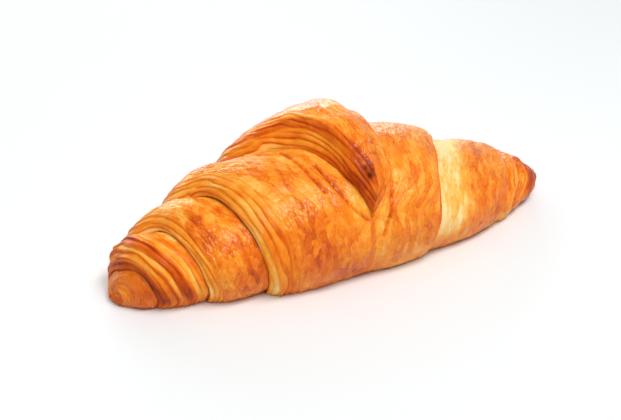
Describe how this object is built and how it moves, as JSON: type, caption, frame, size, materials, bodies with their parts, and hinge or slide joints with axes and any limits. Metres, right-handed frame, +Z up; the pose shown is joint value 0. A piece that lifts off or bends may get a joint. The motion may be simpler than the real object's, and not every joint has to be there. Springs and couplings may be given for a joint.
{
  "type": "croissant",
  "caption": "Straight butter croissant, a long triangle of laminated dough rolled from its base to its point, with stepped laps towards both ends, a raised last lap and a flat baked underside.",
  "frame": {"origin": "on the flat face that the croissant was baked on, under the middle of its length and width", "axes": "+X along the roll from the blunt end to the slim end, +Z up out of the tray, so the loose point of the roll is on the -Y side"},
  "size_m": [0.165, 0.0656, 0.0496],
  "materials": {
    "crust": "browned crust with a satin egg-wash shine, paler beside the creases and darker on the ridges of the laps"
  },
  "bodies": {
    "root": {"croissant": "crust"}
  },
  "joints": []
}
